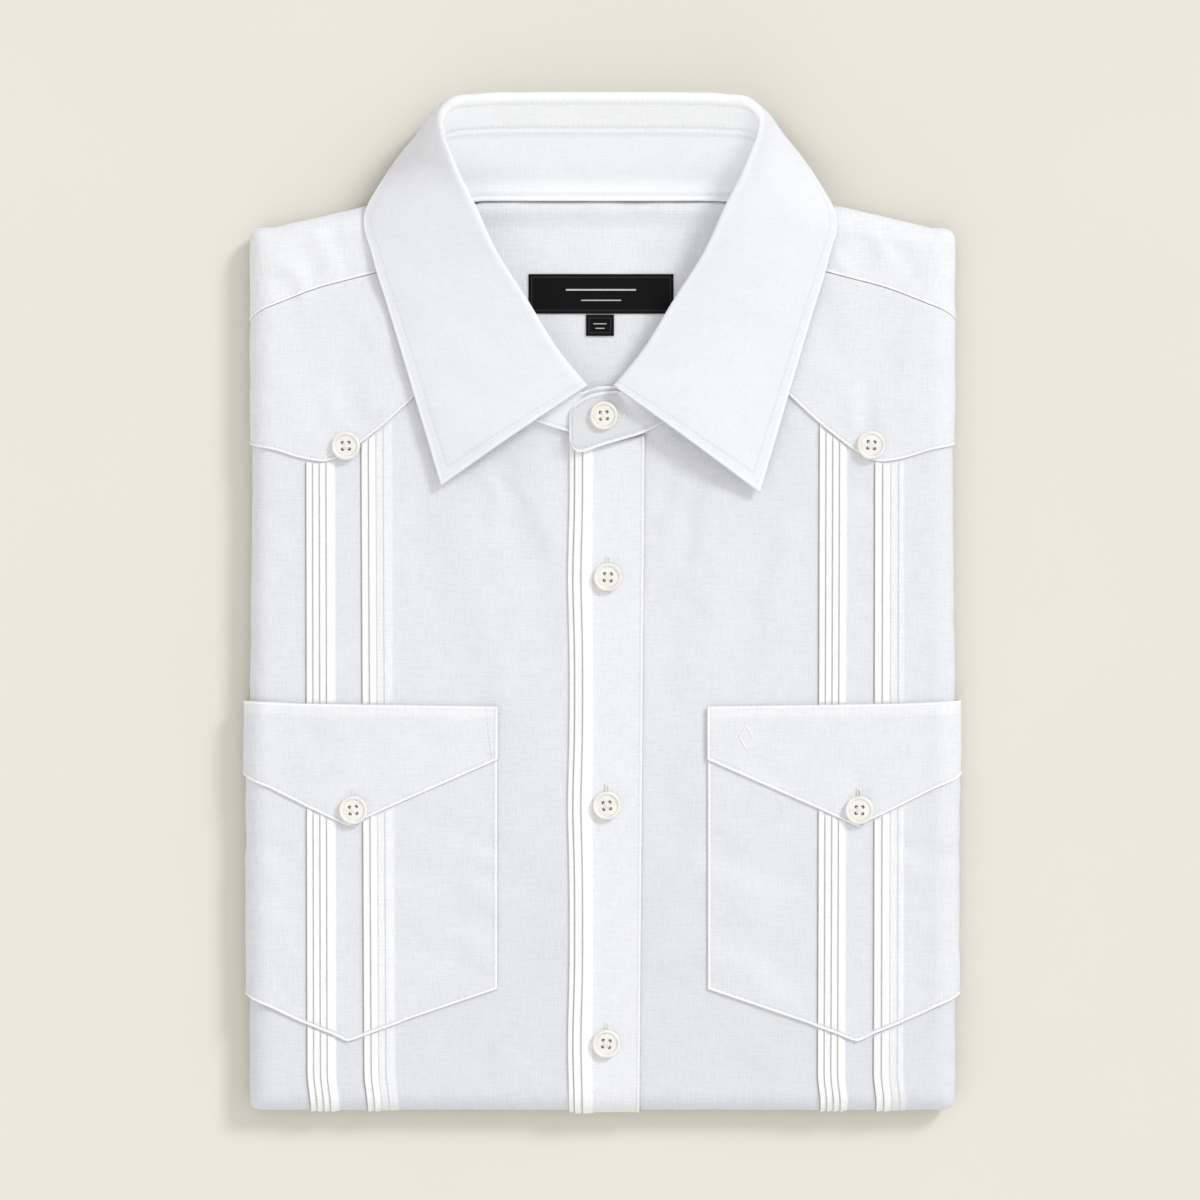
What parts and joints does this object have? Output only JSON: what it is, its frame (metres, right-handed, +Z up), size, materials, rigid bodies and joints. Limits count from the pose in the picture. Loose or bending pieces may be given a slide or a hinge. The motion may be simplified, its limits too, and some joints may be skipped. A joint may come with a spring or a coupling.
{
  "type": "folded guayabera shirt",
  "caption": "White guayabera shirt folded flat for display: spread point collar, tucked fronts, buttoned pointed yokes, flapped chest pockets and a tucked placket.",
  "frame": {"origin": "on the surface that the shirt lies on, under the middle of the whole folded shirt", "axes": "+Z up, away from the surface and out of the shirt's front; +Y towards the collar, -Y towards the hem fold; +X towards the wearer's left side"},
  "size_m": [0.2886, 0.4088, 0.0383],
  "materials": {
    "cloth": "single layer of fine white plain-weave cotton, matt",
    "double_cloth": "doubled white cotton, more opaque, matt, edge-stitched and piped",
    "button": "ivory resin shirt button with a soft gloss",
    "label": "black damask-woven label, matt"
  },
  "bodies": {
    "root": {"folded_layers": "cloth", "front_left": "cloth", "front_right": "cloth", "inner_back_yoke": "cloth", "placket": "double_cloth", "shoulder_yoke_left": "double_cloth", "shoulder_yoke_right": "double_cloth", "front_yoke_left": "double_cloth", "front_yoke_right": "double_cloth", "pocket_left": "double_cloth", "pocket_right": "double_cloth", "pocket_flap_left": "double_cloth", "pocket_flap_right": "double_cloth", "collar_stand": "double_cloth", "collar_fall": "double_cloth", "neck_label": "label", "size_tab": "label", "neck_button": "button", "placket_button_1": "button", "placket_button_2": "button", "placket_button_3": "button", "yoke_button_left": "button", "yoke_button_right": "button", "pocket_button_left": "button", "pocket_button_right": "button"}
  },
  "joints": []
}
